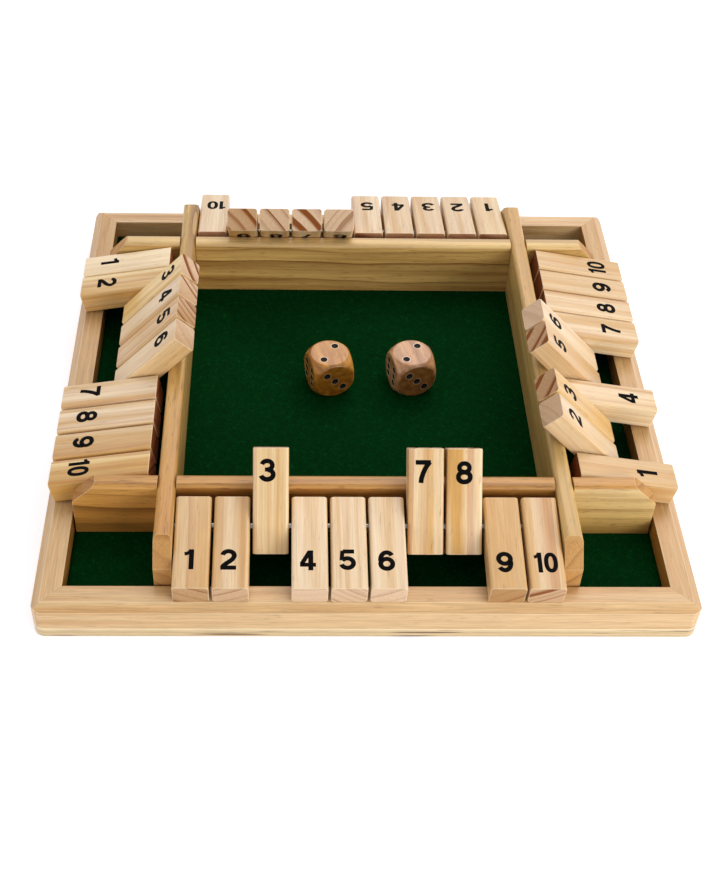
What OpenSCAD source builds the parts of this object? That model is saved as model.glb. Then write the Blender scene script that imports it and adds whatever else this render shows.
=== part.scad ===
// Four player shut the box.
// A square felt-lined tray holds four crossed dividers. Outside each divider
// ten number tiles flip on a rod, and two dice lie in the well.
// X runs to the right and Y away from the front player. The origin is at the
// middle of the tray's underside. Each side is the front side turned in
// quarter turns, and its tiles count from its own player's left.

/* [Tray] */
// Outer width and depth of the square tray
tray_w = 300; // [285:1:330]
// Thickness of the base panel
base_t = 6; // [4:0.5:9]
// Height of the rails above the base panel
rail_h = 14; // [12:0.2:17]
// Width of the rails
rail_w = 13.2; // [11:0.2:16]
// Width of the bevel on the rails' outer top edge
bevel_w = 4; // [2:0.2:6]
// Height of that bevel
bevel_h = 3.2; // [2:0.2:5]
// Radius of the tray's upright corners
corner_r = 5; // [3:0.5:8]

/* [Floor] */
// Thickness of the floor board under the felt
floor_t = 3; // [2:0.5:5]
// Thickness of the felt
felt_t = 0.8; // [0.5:0.1:2]
// Gap all round between the floor and the rails
floor_gap = 0.2; // [0.1:0.1:0.5]

/* [Dividers] */
// Thickness of the dividers
divider_t = 8.4; // [6:0.2:10]
// Height of the dividers above the felt
divider_h = 31.6; // [28:0.2:36]
// Radius along the dividers' top edges
divider_round = 2.5; // [1:0.25:3.5]
// Size of the chamfer on the dividers' top ends
divider_chamfer = 11; // [6:0.5:13]
// Gap between a divider's end and the rail
divider_gap = 1; // [0.3:0.1:2]
// Gap on each side of a half lap joint
lap_gap = 0.15; // [0.1:0.05:0.4]

/* [Tiles] */
// Number of tiles in a row
tile_count = 10; // [9:1:10]
// Width of a tile
tile_w = 16.2; // [15:0.1:17.2]
// Thickness of a tile
tile_t = 12.2; // [9:0.2:13]
// Radius along a tile's long edges
tile_round = 1.5; // [0.5:0.25:2.5]
// Gap between neighbouring tiles
tile_gap = 1.3; // [0.6:0.1:2]
// Gap between the end tiles and the dividers
row_gap = 0.6; // [0.4:0.1:1.5]
// Length of a tile behind the rod
tile_tail = 12.2; // [9:0.2:14]
// Gap between a turning tile's tail and its divider
tail_gap = 2.2; // [1:0.1:4]
// Gap between a resting piece and what it rests on
rest_gap = 0.15; // [0.1:0.05:0.4]
// Gap where the last tile of a row leans against the next row's shut first tile
corner_gap = 0.5; // [0.3:0.1:1]

/* [Rods] */
// Diameter of the rods
rod_d = 3; // [2:0.25:4]
// Depth of the rods' centre below the dividers' top
rod_drop = 9.2; // [7:0.2:10]
// Depth of a rod's blind seat in a divider
rod_seat = 5; // [3:0.5:6]
// Radial play of a tile on its rod
rod_play = 0.1; // [0.04:0.02:0.1]
// Radial play of a rod in its seats
seat_play = 0.03; // [0.02:0.01:0.1]

/* [Dice] */
// Width of a die
die_w = 21.5; // [16:0.5:22]
// Depth that turning a die to a ball takes off each corner
die_corner = 4.1; // [3:0.1:4.4]
// Diameter of a pip
pip_d = 3.6; // [2.5:0.1:4]
// Depth of a pip
pip_depth = 0.6; // [0.3:0.1:1]
// Distance from a face's centre to a row of pips
pip_pitch = 4.3; // [3.8:0.1:4.6]
// Place of the first die to the right of the tray's middle
die_a_x = -14.8; // [-60:0.1:60]
// Place of the first die behind the tray's middle
die_a_y = 8.9; // [-60:0.1:60]
// Turn of the first die
die_a_turn = 16.4; // [0:0.1:90]
// Place of the second die to the right of the tray's middle
die_b_x = 28; // [-60:0.1:60]
// Place of the second die behind the tray's middle
die_b_y = 9.5; // [-60:0.1:60]
// Turn of the second die
die_b_turn = 14.3; // [0:0.1:90]

/* [Game position] */
// Tiles of the front row from 1 on, s for shut and o for open
front_row = "oosooossoo"; // 10
// Tiles of the right row
right_row = "ossossoooo"; // 10
// Tiles of the back row
back_row = "ooooosssso"; // 10
// Tiles of the left row
left_row = "oossssoooo"; // 10

/* [Hidden] */
$fn = 64;
cut = 1; // how far cutting shapes run past the faces they open

// Heights
rail_top = base_t + rail_h;
felt_top = base_t + floor_t + felt_t;
divider_top = felt_top + divider_h;
rod_z = divider_top - rod_drop;
lap_z = felt_top + divider_h / 2;

// Distances from the middle, towards the front
tile_pitch = tile_w + tile_gap;
row_w = tile_count * tile_w + (tile_count - 1) * tile_gap;
well_half = row_w / 2 + row_gap;
divider_out = well_half + divider_t;
tail_sweep = norm([tile_tail, tile_t / 2]);
rod_out = divider_out + tail_gap + tail_sweep;
rail_in = tray_w / 2 - rail_w;
divider_end = rail_in - divider_gap;

// A lying tile's lower end edge rests where the rail's bevel begins
rest_run = tray_w / 2 - bevel_w - rod_out;
rest_fall = rod_z - rail_top - rest_gap;
tile_reach = sqrt(pow(norm([rest_run, rest_fall]), 2) - pow(tile_t / 2, 2));
lying_tilt = 180 + atan2(rest_fall, rest_run) - atan2(tile_t / 2, tile_reach);

// A shut tile leans on the rounded outer top edge of its divider
lean_run = rod_out - divider_out + divider_round;
lean_rise = divider_top - divider_round - rod_z;
lean_clear = tile_t / 2 + divider_round + rest_gap;
shut_tilt = atan2(lean_rise, lean_run) + asin(lean_clear / norm([lean_run, lean_rise]));

// Beside a shut first tile of the next row, the last tile stops more upright,
// where its lower end edge meets that tile's side
corner_run = rod_out - row_w / 2 - corner_gap;
corner_tilt = atan2(tile_t / 2, tile_reach) + acos(corner_run / norm([tile_reach, tile_t / 2]));

SIDES = ["front", "right", "back", "left"];
ROWS = [front_row, right_row, back_row, left_row];

// Pips on each face of a die, and the turn that takes the top to that face
DIE_FACES = [
    [2, [0, 0, 0]],
    [5, [180, 0, 0]],
    [3, [90, 0, 0]],
    [4, [-90, 0, 0]],
    [6, [90, 0, -90]],
    [1, [90, 0, 90]]
];

function two_digits(n) = n < 10 ? str("0", n) : str(n);
function tile_name(side, n) = str("tile_", SIDES[side], "_", two_digits(n));
function is_shut(side, n) = ROWS[side][n - 1] == "s";
function meets_corner(side, n) = n == tile_count && is_shut((side + 1) % 4, 1);
function tilt_of(side, n) =
    !is_shut(side, n) ? lying_tilt :
    meets_corner(side, n) ? max(shut_tilt, corner_tilt) : shut_tilt;

// Turns the front side's piece to another side
module on_side(side) {
    rotate([0, 0, 90 * side]) children();
}

// Rectangle with round corners
module round_rect(w, h, r) {
    square([w - 2 * r, h], center = true);
    square([w, h - 2 * r], center = true);
    for (x = [-1, 1], y = [-1, 1])
        translate([x * (w / 2 - r), y * (h / 2 - r)]) circle(r);
}

// Stands a cross-section drawn as [distance to the front, height] along X
module along_x(length) {
    translate([length / 2, 0, 0]) rotate([90, 0, -90]) linear_extrude(length) children();
}

module base_panel() {
    color("Tan") linear_extrude(base_t) round_rect(tray_w, tray_w, corner_r);
}

module floor_sheet(z, t) {
    w = 2 * (rail_in - floor_gap);
    translate([-w / 2, -w / 2, z]) cube([w, w, t]);
}

module floor_board() {
    color("SaddleBrown") floor_sheet(base_t, floor_t);
}

module felt_lining() {
    color("DarkGreen") floor_sheet(base_t + floor_t, felt_t);
}

module rail_section() {
    out = tray_w / 2;
    polygon([
        [rail_in, base_t],
        [out, base_t],
        [out, rail_top - bevel_h],
        [out - bevel_w, rail_top],
        [rail_in, rail_top]
    ]);
}

// Plan of one rail between its two mitres
module mitre_plan() {
    out = tray_w / 2;
    polygon([[-out, -out], [out, -out], [rail_in, -rail_in], [-rail_in, -rail_in]]);
}

module rail(side) {
    color("BurlyWood") on_side(side) intersection() {
        along_x(tray_w) rail_section();
        linear_extrude(rail_top) mitre_plan();
        linear_extrude(rail_top) round_rect(tray_w, tray_w, corner_r);
    }
}

// End view of a divider, its two top edges rounded
module divider_section() {
    r = divider_round;
    translate([well_half, felt_top]) square([divider_t, divider_h - r]);
    translate([well_half + r, felt_top]) square([divider_t - 2 * r, divider_h]);
    for (x = [well_half + r, divider_out - r])
        translate([x, divider_top - r]) circle(r);
}

// Side view of a divider, its two top corners chamfered
module divider_outline() {
    low = divider_top - divider_chamfer;
    flat = divider_end - divider_chamfer;
    polygon([
        [-divider_end, felt_top],
        [divider_end, felt_top],
        [divider_end, low],
        [flat, divider_top],
        [-flat, divider_top],
        [-divider_end, low]
    ]);
}

// The front and back dividers are notched from the top at their half laps,
// and the left and right ones from below, so these run unbroken along the top
module divider(side) {
    notch_w = divider_t + 2 * lap_gap;
    notch_x = well_half + divider_t / 2;
    notch_z = side % 2 == 0 ? lap_z : felt_top - cut;
    notch_h = side % 2 == 0 ? divider_top + cut - lap_z : lap_z - felt_top + cut;
    color("NavajoWhite") on_side(side) difference() {
        intersection() {
            along_x(2 * divider_end) divider_section();
            translate([0, -well_half, 0]) rotate([90, 0, 0])
                linear_extrude(divider_t) divider_outline();
        }
        for (s = [-1, 1]) {
            translate([s * notch_x - notch_w / 2, -divider_out - cut, notch_z])
                cube([notch_w, divider_t + 2 * cut, notch_h]);
            translate([s * rod_out, -well_half + cut, rod_z]) rotate([90, 0, 0])
                cylinder(d = rod_d + 2 * seat_play, h = rod_seat + cut);
        }
    }
}

module rod(side) {
    color("Silver") on_side(side) translate([0, -rod_out, rod_z]) rotate([0, 90, 0])
        cylinder(d = rod_d, h = 2 * (well_half + rod_seat), center = true);
}

// One tile with its rod hole on the X axis and its free end towards +Y
module tile_bar() {
    difference() {
        translate([0, tile_reach, 0]) rotate([90, 0, 0])
            linear_extrude(tile_reach + tile_tail) round_rect(tile_w, tile_t, tile_round);
        rotate([0, 90, 0])
            cylinder(d = rod_d + 2 * rod_play, h = tile_w + 2 * cut, center = true);
    }
}

module tile(side, n) {
    x = (n - (tile_count + 1) / 2) * tile_pitch;
    color("Moccasin") on_side(side)
        translate([x, -rod_out, rod_z]) rotate([tilt_of(side, n), 0, 0]) tile_bar();
}

// Places of the pips on a face, in pitches from its centre
function pips(n) =
    n == 1 ? [[0, 0]] :
    n == 2 ? [[1, 1], [-1, -1]] :
    n == 3 ? concat(pips(1), [[-1, 1], [1, -1]]) :
    n == 4 ? concat(pips(2), [[-1, 1], [1, -1]]) :
    n == 5 ? concat(pips(1), pips(4)) :
    concat(pips(4), [[-1, 0], [1, 0]]);

module die(x, y, turn) {
    pip_r = (pow(pip_d / 2, 2) + pow(pip_depth, 2)) / (2 * pip_depth);
    color("Peru")
        translate([x, y, felt_top + rest_gap + die_w / 2])
        rotate([0, 0, turn]) difference() {
            intersection() {
                cube(die_w, center = true);
                sphere(r = norm([die_w, die_w, die_w]) / 2 - die_corner);
            }
            for (face = DIE_FACES, p = pips(face[0]))
                rotate(face[1])
                    translate([p[0] * pip_pitch, p[1] * pip_pitch, die_w / 2 + pip_r - pip_depth])
                    sphere(r = pip_r);
        }
}

module die_a() { die(die_a_x, die_a_y, die_a_turn); }
module die_b() { die(die_b_x, die_b_y, die_b_turn); }

base_panel();
floor_board();
felt_lining();
for (side = [0:3]) {
    rail(side);
    divider(side);
    rod(side);
    for (n = [1:tile_count])
        tile(side, n);
}
die_a();
die_b();
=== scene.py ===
import functools
import math
import random

import bmesh
import bpy
from mathutils import Euler, Matrix, Vector, noise


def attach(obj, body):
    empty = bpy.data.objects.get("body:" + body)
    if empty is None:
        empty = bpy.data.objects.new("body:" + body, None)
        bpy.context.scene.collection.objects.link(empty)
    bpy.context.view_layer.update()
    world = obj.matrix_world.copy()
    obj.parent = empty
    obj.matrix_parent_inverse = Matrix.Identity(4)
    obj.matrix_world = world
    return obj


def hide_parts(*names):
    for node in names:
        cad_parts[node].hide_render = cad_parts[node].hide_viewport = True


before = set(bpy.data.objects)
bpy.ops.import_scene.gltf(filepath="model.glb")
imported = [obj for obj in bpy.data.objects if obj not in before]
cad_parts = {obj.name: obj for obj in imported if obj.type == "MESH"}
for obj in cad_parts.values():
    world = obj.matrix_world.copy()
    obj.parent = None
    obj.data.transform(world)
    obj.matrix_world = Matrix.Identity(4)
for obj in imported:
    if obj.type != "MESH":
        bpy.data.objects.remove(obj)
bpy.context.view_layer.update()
mm = 0.001
sideNames = ["front", "right", "back", "left"]
print("frame loaded:", len(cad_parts), "solids")


def toLinear(hexText):
    values = [int(hexText[i:i + 2], 16) / 255 for i in (1, 3, 5)]
    return tuple(v / 12.92 if v < 0.04045 else ((v + 0.055) / 1.055) ** 2.4 for v in values) + (1.0,)


# Feeds go to the node's inputs in order, or by name or number: a node, which stands for its first output
# in use, a socket, a plain value, a hex colour, or a list for an input that takes many. Settings are its
# own properties. Map ranges are fed a value, the two ends it is read between and the two it is turned to.
def addNode(tree, kind, feeds=(), operation=None, **settings):
    node = tree.nodes.new(kind)
    if operation:
        settings["operation"] = operation
    for name, value in settings.items():
        setattr(node, name, value)
    for key, value in feeds.items() if isinstance(feeds, dict) else enumerate(feeds):
        for one in value if isinstance(value, list) else [value]:
            if isinstance(one, bpy.types.Node):
                one = next(socket for socket in one.outputs if socket.enabled)
            if isinstance(one, str) and one.startswith("#"):
                one = toLinear(one)
            if isinstance(one, bpy.types.NodeSocket):
                tree.links.new(one, node.inputs[key])
            else:
                node.inputs[key].default_value = one
    return node


# empties the nodes of a material or a world and gives what adds to them
def startNodes(owner):
    owner.use_nodes = True
    owner.node_tree.nodes.clear()
    return functools.partial(addNode, owner.node_tree)


# a material of one shader, fed with what its finish function returns
def newMaterial(finish, look):
    material = bpy.data.materials.new(look["name"])
    add = startNodes(material)
    add("ShaderNodeOutputMaterial", [add("ShaderNodeBsdfPrincipled", finish(add, look))])
    return material


def newTree(name, sockets):
    tree = bpy.data.node_groups.new(name, "GeometryNodeTree")
    tree.interface.new_socket(name="Geometry", in_out="OUTPUT", socket_type="NodeSocketGeometry")
    for kind, labels in sockets.items():
        for label in labels:
            tree.interface.new_socket(name=label, in_out="INPUT", socket_type="NodeSocket" + kind)
    add = functools.partial(addNode, tree)
    return tree, add, add("NodeGroupInput").outputs


# soft noise that changes at its own rate per mm each way
def stretchedNoise(add, place, rates, detail, roughness=0.5):
    stretched = add("ShaderNodeVectorMath", [place, rates], "MULTIPLY")
    return add("ShaderNodeTexNoise", {
        "Vector": stretched, "Scale": 1.0, "Detail": detail, "Roughness": roughness})


# lays colours of a look over its first one, each as (share, colour, how it blends)
def layColours(add, look, first, layers):
    colour = look[first]
    for share, over, blend in layers:
        feeds = {0: share, 6: colour, 7: look[over]}
        colour = add("ShaderNodeMix", feeds, data_type="RGBA", blend_type=blend)
    return colour


def linkObject(name, data):
    thing = bpy.data.objects.new(name, data)
    bpy.context.scene.collection.objects.link(thing)
    return thing


# evaluates an object's modifiers into one plain mesh and drops them
def settle(thing):
    bpy.context.view_layer.update()
    graph = bpy.context.evaluated_depsgraph_get()
    mesh = bpy.data.meshes.new_from_object(thing.evaluated_get(graph), depsgraph=graph)
    mesh.name = thing.name
    thing.modifiers.clear()
    thing.data = mesh
    return thing


# runs a geometry tree on an empty mesh and keeps what comes out
def growPiece(name, tree, values):
    piece = linkObject(name, bpy.data.meshes.new(name))
    modifier = piece.modifiers.new("grow", "NODES")
    modifier.node_group = tree
    for item in tree.interface.items_tree:
        if item.item_type == "SOCKET" and item.in_out == "INPUT":
            modifier[item.identifier] = values[item.name]
    return settle(piece)


def keepShape(shape, mesh):
    shape.to_mesh(mesh)
    shape.free()
    return mesh


# a solid from its corners in mm
def newSolid(name, points, faces):
    mesh = bpy.data.meshes.new(name)
    mesh.from_pydata([Vector(p) * mm for p in points], [], faces)
    shape = bmesh.new()
    shape.from_mesh(mesh)
    bmesh.ops.recalc_face_normals(shape, faces=shape.faces)
    return linkObject(name, keepShape(shape, mesh))


# Writes where each point lies in its own board, in mm with the length first, and what else the pine reads.
# sawn is where the front's board lies in its wood and the step to the next side's.
def storeGrain(mesh, sawn, side, tone):
    offset = Vector(sawn[0]) + side * Vector(sawn[1])
    mesh.attributes.new("grain", "FLOAT_VECTOR", "POINT")
    for name in ("tone", "figure", "endFigure", "cast"):
        mesh.attributes.new(name, "FLOAT", "POINT")
    mesh.attributes.new("endGrain", "FLOAT", "FACE")
    for name, value in (("tone", tone), ("figure", 1.0), ("endFigure", 1.0)):
        for mark in mesh.attributes[name].data:
            mark.value = value
    for vertex, spot in zip(mesh.vertices, mesh.attributes["grain"].data):
        spot.vector = vertex.co / mm + offset
    # nothing on a face 68 degrees or more off the length, all of it within 45
    for face, end in zip(mesh.polygons, mesh.attributes["endGrain"].data):
        end.value = min(max(abs(face.normal.x) * 3 - 1.1, 0), 1)


def roundEdges(piece, width, steps, angle):
    bevel = piece.modifiers.new("edges", "BEVEL")
    bevel.width = width * mm
    bevel.segments = steps
    bevel.limit_method = "ANGLE"
    bevel.angle_limit = math.radians(angle)
    bevel.use_clamp_overlap = True
    settle(piece)


# cuts a piece with a helper solid and removes the helper
def cutWith(piece, helper, operation):
    saw = piece.modifiers.new("saw", "BOOLEAN")
    saw.operation = operation
    saw.solver = "EXACT"
    saw.object = helper
    settle(piece)
    bpy.data.objects.remove(helper)


# marks the points that lie only on narrow faces, so that a paler line, a painted highlight, can follow each
# eased edge
def storeEdges(mesh, narrow):
    mesh.attributes.new("edge", "FLOAT", "POINT")
    onlyNarrow = [True] * len(mesh.vertices)
    for face in mesh.polygons:
        corners = [mesh.vertices[i].co for i in face.vertices]
        longest = max((a - b).length for a, b in zip(corners, corners[1:] + corners[:1]))
        if face.area / longest > narrow * mm:
            for i in face.vertices:
                onlyNarrow[i] = False
    for mark, worn in zip(mesh.attributes["edge"].data, onlyNarrow):
        mark.value = 1.0 if worn else 0.0


def smoothShading(piece, narrow=0.32):  # mm
    storeEdges(piece.data, narrow)
    for face in piece.data.polygons:
        face.use_smooth = True
    weighted = piece.modifiers.new("shading", "WEIGHTED_NORMAL")
    weighted.keep_sharp = True
    weighted.weight = 80
    settle(piece)


def place(piece, body, node, slot):
    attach(piece, body)
    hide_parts(node)


# turns a bar made for the front to its own side and finishes it
def finishBar(bar, kind, side, material, slot, narrow=0.32):
    bar.data.transform(Matrix.Rotation(math.radians(90 * side), 4, "Z"))
    bar.data.materials.append(material)
    smoothShading(bar, narrow)
    place(bar, "frame", kind + "_" + sideNames[side], slot)


camera = {
    "place": (-37.09, -525.84, 498.44),  # mm
    "turn": 2.11,       # degrees to the right of straight back
    "lookDown": 45.704,
    "roll": 1.766,
    "lens": 56.03,      # for a long side of 36 mm
    "shift": (0.0443, 0.0257),
}

eye = linkObject("eye", bpy.data.cameras.new("eye"))
eye.data.lens = camera["lens"]
eye.data.sensor_width = 36
eye.data.sensor_fit = "AUTO"
eye.data.shift_x, eye.data.shift_y = camera["shift"]
eye.data.clip_start = 0.01
eye.data.clip_end = 50
eye.matrix_world = (
    Matrix.Translation(Vector(camera["place"]) * mm)
    @ Matrix.Rotation(math.radians(-camera["turn"]), 4, "Z")
    @ Matrix.Rotation(math.radians(90 - camera["lookDown"]), 4, "X")
    @ Matrix.Rotation(math.radians(camera["roll"]), 4, "Z")
)
bpy.context.scene.camera = eye
bpy.context.scene.view_settings.view_transform = "Standard"


# Lacquered pine, planed: pale early wood, narrow reddish late wood, short resin marks and a satin film
def pineFinish(add, look):
    grain = add("ShaderNodeAttribute", attribute_name="grain").outputs["Vector"]
    end, tone, figure, endFigure, edge, cast = (
        add("ShaderNodeAttribute", attribute_name=name).outputs["Fac"]
        for name in ("endGrain", "tone", "figure", "endFigure", "edge", "cast"))

    # the rings wander slowly along the board
    wander = stretchedNoise(add, grain, (0.009, 0.035, 0.035), 2.0)
    centred = add("ShaderNodeVectorMath", [wander.outputs["Color"], (0.5, 0.5, 0.5)], "SUBTRACT")
    sway = look["ringWander"]
    scaled = add("ShaderNodeVectorMath", [centred, (0, sway, sway), grain], "MULTIPLY_ADD")
    across = add("ShaderNodeVectorMath", [scaled, (0, 1, 1)], "MULTIPLY")
    radius = add("ShaderNodeVectorMath", [across], "LENGTH")
    count = add("ShaderNodeMath", [radius, look["ringWidth"]], "DIVIDE")
    uneven = add("ShaderNodeTexNoise", {"W": count, "Scale": 0.8, "Detail": 1.0}, noise_dimensions="1D")
    rings = add("ShaderNodeMath", [uneven, 1.3, count], "MULTIPLY_ADD")
    part = add("ShaderNodeMath", [rings], "FRACT")
    late = add("ShaderNodeValToRGB", [part])
    stops = [(0.0, 0.2), (0.06, 0.0), (0.5, 0.05), (0.8, 0.55), (0.95, 1.0)]
    while len(late.color_ramp.elements) < len(stops):
        late.color_ramp.elements.new(0.5)
    for element, (spot, value) in zip(late.color_ramp.elements, stops):
        element.position = spot
        element.color = (value, value, value, 1)
    number = add("ShaderNodeMath", [rings], "FLOOR")
    chance = add("ShaderNodeTexWhiteNoise", {"W": number}, noise_dimensions="1D")
    squared = add("ShaderNodeMath", [chance, 2.2], "POWER")
    strength = add("ShaderNodeMapRange", {0: squared, 3: look["weakRing"], 4: look["strongRing"]})
    figured = add("ShaderNodeMath", [strength, figure], "MULTIPLY")
    line = add("ShaderNodeMath", [late, figured], "MULTIPLY", use_clamp=True)

    # long soft bands, then fine fibres and short marks
    bands = stretchedNoise(add, grain, (0.006, 0.21, 0.21), 3.0)
    bandLift = add("ShaderNodeMapRange", [bands, 0.42, 0.66, 0.0, look["bandStrength"]])
    bandShare = add("ShaderNodeMath", [figure, 0.5, 0.5], "MULTIPLY_ADD")
    bandPart = add("ShaderNodeMath", [bandLift, bandShare], "MULTIPLY", use_clamp=True)
    fibres = stretchedNoise(add, grain, (0.05, 1.5, 1.5), 5.0, 0.62)
    contrast = look["fibreStrength"]
    fibrePart = add("ShaderNodeMapRange", [fibres, 0.3, 0.7, 1 - contrast, 1 + contrast])
    marks = stretchedNoise(add, grain, (0.13, 1.25, 1.25), 1.0)
    start = look["markStart"]
    markPart = add("ShaderNodeMapRange", [marks, start, start + 0.1, 0.0, look["markStrength"]])
    # tone above 1 mixes towards the deep colour and below 0 towards the pale highlight colour; on the rails'
    # inner walls and the front divider these paint shade and light
    extra = add("ShaderNodeMath", [tone, 1.0], "SUBTRACT", use_clamp=True)
    less = add("ShaderNodeMath", [tone, -1.0], "MULTIPLY", use_clamp=True)
    faceLine = add("ShaderNodeMath", [line, look["faceRing"]], "MINIMUM")

    # sawn ends drink more stain, so they turn pinker and their rings show more
    speckle = add("ShaderNodeTexNoise", {"Vector": grain, "Scale": 1.7, "Detail": 3.0})
    stain = add("ShaderNodeMath", [tone, 0.95, -0.12], "MULTIPLY_ADD", use_clamp=True)
    drunk = add("ShaderNodeMath", [speckle, 0.4, stain], "MULTIPLY_ADD", use_clamp=True)
    endRings = add("ShaderNodeMath", [strength, endFigure], "MULTIPLY")
    endLine = add("ShaderNodeMath", [late, endRings], "MULTIPLY", use_clamp=True)
    sharper = add("ShaderNodeMath", [endLine, look["endRing"]], "MULTIPLY", use_clamp=True)
    # endGrain above 1 marks a tile's tail end: painted shade
    deep = add("ShaderNodeMath", [end, 1.0], "SUBTRACT", use_clamp=True)

    # colours laid over one another, on the faces and on the ends
    faceLayers = [
        (tone, "honey", "MIX"), (extra, "deep", "MIX"), (less, "wornEdge", "MIX"), (bandPart, "band", "MIX"),
        (cast, "castColour", "MULTIPLY"), (faceLine, "late", "MIX"), (markPart, "mark", "MIX")]
    endLayers = [(drunk, "endDark", "MIX"), (sharper, "endLate", "MIX"), (deep, "endDeep", "MULTIPLY")]
    faces = layColours(add, look, "pale", faceLayers)
    ends = layColours(add, look, "endPale", endLayers)
    # a painted highlight: a pale line along each eased edge and along the back divider's rounded top
    wear = add("ShaderNodeMath", [edge, look["wear"]], "MULTIPLY")
    whole = add("ShaderNodeMix", {0: end, 6: faces, 7: ends}, data_type="RGBA")
    shaded = add("ShaderNodeMix", {0: 1.0, 6: whole, 7: fibrePart}, data_type="RGBA", blend_type="MULTIPLY")
    worn = add("ShaderNodeMix", {0: wear, 6: shaded, 7: look["wornEdge"]}, data_type="RGBA")

    # end grain soaks the film up and stays matt
    film = add("ShaderNodeMapRange", {0: end, 3: look["film"], 4: 0.14})
    even = add("ShaderNodeMapRange", [fibres, 0.3, 0.7, look["roughness"] - 0.06, look["roughness"] + 0.08])
    rough = add("ShaderNodeMath", [end, 0.25, even], "MULTIPLY_ADD", use_clamp=True)
    relief = add("ShaderNodeMath", [line, 0.6, fibres], "MULTIPLY_ADD")
    bump = add("ShaderNodeBump", {"Strength": 0.35, "Distance": 0.00012, "Height": relief})
    return {
        "Base Color": worn, "Roughness": rough, "Normal": bump, "IOR": 1.5, "Specular IOR Level": 0.2,
        "Coat Weight": film, "Coat Roughness": 0.34, "Coat IOR": 1.5}


tilePineLook = {
    "name": "lacquered_tile_pine",
    "pale": "#efddc0", "honey": "#d6b585", "deep": "#b08238", "band": "#cb9d56", "late": "#b06a2a",
    "castColour": "#fff1b2",  # painted warm light, bounced into the tiles' shade, as a yellow tint
    "mark": "#94582c", "endPale": "#e3cab0", "endDark": "#b0885a", "endLate": "#804510", "endDeep": "#b07850",
    "wornEdge": "#fff0d2", "wear": 0.38,
    "ringWidth": 5.2, "ringWander": 3.0, "weakRing": 0.12, "strongRing": 0.7,
    "bandStrength": 0.75, "fibreStrength": 0.12, "markStrength": 0.35,
    "endRing": 1.9, "faceRing": 0.5, "roughness": 0.42, "film": 0.8, "markStart": 0.67,
}
railPineLook = {
    "name": "lacquered_rail_pine",
    "pale": "#dfc297", "honey": "#b88a44", "deep": "#84500f", "band": "#ba874a", "late": "#a3672f",
    "castColour": "#fff8bc",
    "mark": "#8a542b", "endPale": "#cfa67c", "endDark": "#bb8e66", "endLate": "#84502f", "endDeep": "#b07850",
    "wornEdge": "#fbe8c2", "wear": 0.85,
    "ringWidth": 6.5, "ringWander": 6.0, "weakRing": 0.05, "strongRing": 0.45,
    "bandStrength": 0.6, "fibreStrength": 0.2, "markStrength": 0.35,
    "endRing": 1.2, "faceRing": 1.0, "roughness": 0.45, "film": 0.8, "markStart": 0.67,
}
dividerPineLook = {
    "name": "lacquered_divider_pine",
    "pale": "#dfbf78", "honey": "#c58a40", "deep": "#7c4c1a", "band": "#a4793a", "late": "#7d5222",
    # olive tint: painted shade towards the foot of the front divider's right end
    "castColour": "#b3aa94",
    "mark": "#5f3818", "endPale": "#c89c62", "endDark": "#aa7842", "endLate": "#84502a", "endDeep": "#b07850",
    "wornEdge": "#eed5a2", "wear": 0.4,
    "ringWidth": 7.5, "ringWander": 9.0, "weakRing": 0.25, "strongRing": 1.0,
    "bandStrength": 0.65, "fibreStrength": 0.15, "markStrength": 0.45,
    "endRing": 1.0, "faceRing": 1.0, "roughness": 0.48, "film": 0.75, "markStart": 0.62,
}
tilePine, railPine, dividerPine = (
    newMaterial(pineFinish, look) for look in (tilePineLook, railPineLook, dividerPineLook))


# Printed ink: a matt black film, thin enough to show the wood's fibres as faint wear
def inkFinish(add, look):
    spot = add("ShaderNodeTexCoord").outputs["Object"]
    wear = add("ShaderNodeTexNoise", {"Vector": spot, "Scale": 900.0, "Detail": 2.0})
    worn = add("ShaderNodeMapRange", [wear, 0.45, 0.8, 0.0, 0.5])
    colour = add("ShaderNodeMix", {0: worn, 6: look["solid"], 7: look["thin"]}, data_type="RGBA")
    return {"Base Color": colour, "Roughness": 0.6, "Specular IOR Level": 0.05}


ink = newMaterial(inkFinish, {"name": "printed_black_ink", "solid": "#020203", "thin": "#0c0a0a"})


# Pressed wool felt: deep green, with curled fibres a few tenths of a millimetre thick (drawn at about 0.5 mm)
def feltFinish(add, look):
    spot = add("ShaderNodeTexCoord").outputs["Object"]
    curl = add("ShaderNodeTexNoise", {"Vector": spot, "Scale": 1 / (6 * mm), "Detail": 2.0})
    bent = add("ShaderNodeMix", {0: 0.012, 4: spot, 5: curl.outputs["Color"]}, data_type="VECTOR")
    fibres = add("ShaderNodeTexNoise",
                 {"Vector": bent, "Scale": 1 / (1.5 * mm), "Detail": 3.0, "Roughness": 0.6},
                 noise_type="RIDGED_MULTIFRACTAL")
    cloud = add("ShaderNodeTexNoise", {"Vector": spot, "Scale": 1 / (3 * mm), "Detail": 3.0})
    lift = add("ShaderNodeMath", [cloud, 0.5, fibres], "MULTIPLY_ADD")
    spread = add("ShaderNodeMapRange", [lift, 0.25, 1.6, 0.0, 1.0])
    colour = add("ShaderNodeMix", {0: spread, 6: look["deep"], 7: look["lit"]}, data_type="RGBA")
    bump = add("ShaderNodeBump", {"Strength": 0.6, "Distance": 0.0003, "Height": lift})
    return {
        "Base Color": colour, "Roughness": 0.95, "Normal": bump, "Specular IOR Level": 0.02,
        "Sheen Weight": look["fuzz"], "Sheen Roughness": 0.5, "Sheen Tint": look["fuzzTint"]}


felt = newMaterial(feltFinish, {
    "name": "pressed_wool_felt", "deep": "#022c10", "lit": "#095a22", "fuzz": 0.03, "fuzzTint": "#1f9a4a"})


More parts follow.
